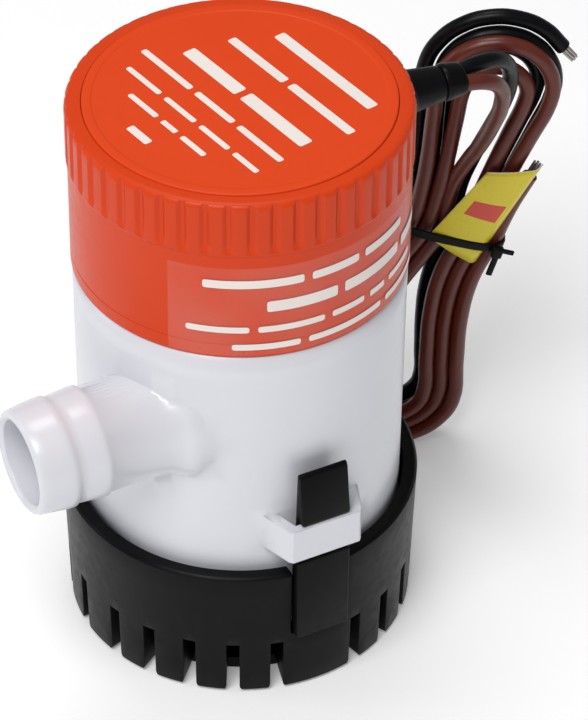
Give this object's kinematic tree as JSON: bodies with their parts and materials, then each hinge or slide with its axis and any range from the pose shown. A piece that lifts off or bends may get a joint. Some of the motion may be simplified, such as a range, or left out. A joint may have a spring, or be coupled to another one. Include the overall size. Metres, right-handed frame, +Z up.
{
  "type": "submersible bilge pump",
  "caption": "Small round submersible bilge pump with a ribbed motor cover, side hose outlet, clip-on slotted strainer and tied flying leads.",
  "frame": {"origin": "on the pump's axis, on the flat underside of the strainer", "axes": "+Z up along the motor shaft; the outlet points to -X and a little to -Y; the cable boot leaves towards +X and a little to +Y"},
  "size_m": [0.1043, 0.0855, 0.1116],
  "materials": {
    "strainer_black": "fine-grained moulded nylon",
    "clip_black": "moulded acetal, satin",
    "housing_white": "moulded white ABS, semi-gloss",
    "cover_orange": "moulded orange ABS, semi-gloss",
    "lid_orange": "moulded orange ABS, fine satin face",
    "seal_rubber": "nitrile rubber",
    "cable_rubber": "moulded PVC boot, satin",
    "inlet_grey": "moulded white ABS",
    "impeller_black": "moulded nylon",
    "steel": "bright zinc-plated steel",
    "shaft_steel": "ground stainless steel",
    "magnet_ferrite": "sintered ferrite",
    "bush_bronze": "sintered bronze",
    "lamination_steel": "stacked electrical steel",
    "winding_copper": "enamelled copper wire",
    "contact_copper": "hard copper",
    "carbon": "copper graphite",
    "motor_plastic": "moulded phenolic",
    "capacitor_brown": "dipped ceramic",
    "wire_inside": "PVC insulation",
    "film_clear": "clear printed polyester film",
    "wire_black": "PVC insulation, satin",
    "wire_brown": "PVC insulation, satin",
    "tie_black": "soft plastic tie",
    "tag_yellow": "coated yellow label paper"
  },
  "bodies": {
    "root": {"strainer_base": "strainer_black", "pump_housing": "housing_white", "inlet_cover": "inlet_grey", "inlet_oring": "seal_rubber", "inlet_screws": "steel", "shaft_seal": "seal_rubber", "seal_retainer": "contact_copper", "motor_sleeve": "seal_rubber", "motor_can": "steel", "magnets": "magnet_ferrite", "lower_bush": "bush_bronze", "end_bell": "motor_plastic", "upper_bush": "bush_bronze", "brushes": "carbon", "brush_arms": "contact_copper", "motor_terminals": "contact_copper", "suppressor": "capacitor_brown", "housing_oring": "seal_rubber", "motor_cover": "cover_orange", "top_lid": "lid_orange", "cable_boot": "cable_rubber", "heat_shrink": "cable_rubber", "inner_leads": "wire_inside", "label_film": "film_clear", "lead_black": "wire_black", "lead_brown": "wire_brown", "hank_black": "wire_black", "hank_brown": "wire_brown", "tie": "tie_black", "warning_tag": "tag_yellow"},
    "rotor": {"shaft": "shaft_steel", "impeller": "impeller_black", "impeller_clip": "steel", "armature_core": "lamination_steel", "windings": "winding_copper", "commutator": "contact_copper"},
    "clip_front": {"clip_front": "clip_black"},
    "clip_rear": {"clip_rear": "clip_black"}
  },
  "joints": [
    {"name": "rotor_spin", "type": "hinge", "parent": "root", "child": "rotor", "pos_m": [0, 0, 0.06], "axis": [0, 0, -1], "continuous": true},
    {"name": "clip_front_press", "type": "hinge", "parent": "root", "child": "clip_front", "pos_m": [0.01446, -0.029, 0.0142], "axis": [-0.8949, -0.4462, 0], "range_deg": [0, 3.1], "stiffness_Nm_per_rad": 5},
    {"name": "clip_rear_press", "type": "hinge", "parent": "root", "child": "clip_rear", "pos_m": [-0.01446, 0.029, 0.0142], "axis": [0.8949, 0.4462, 0], "range_deg": [0, 3.1], "stiffness_Nm_per_rad": 5}
  ]
}
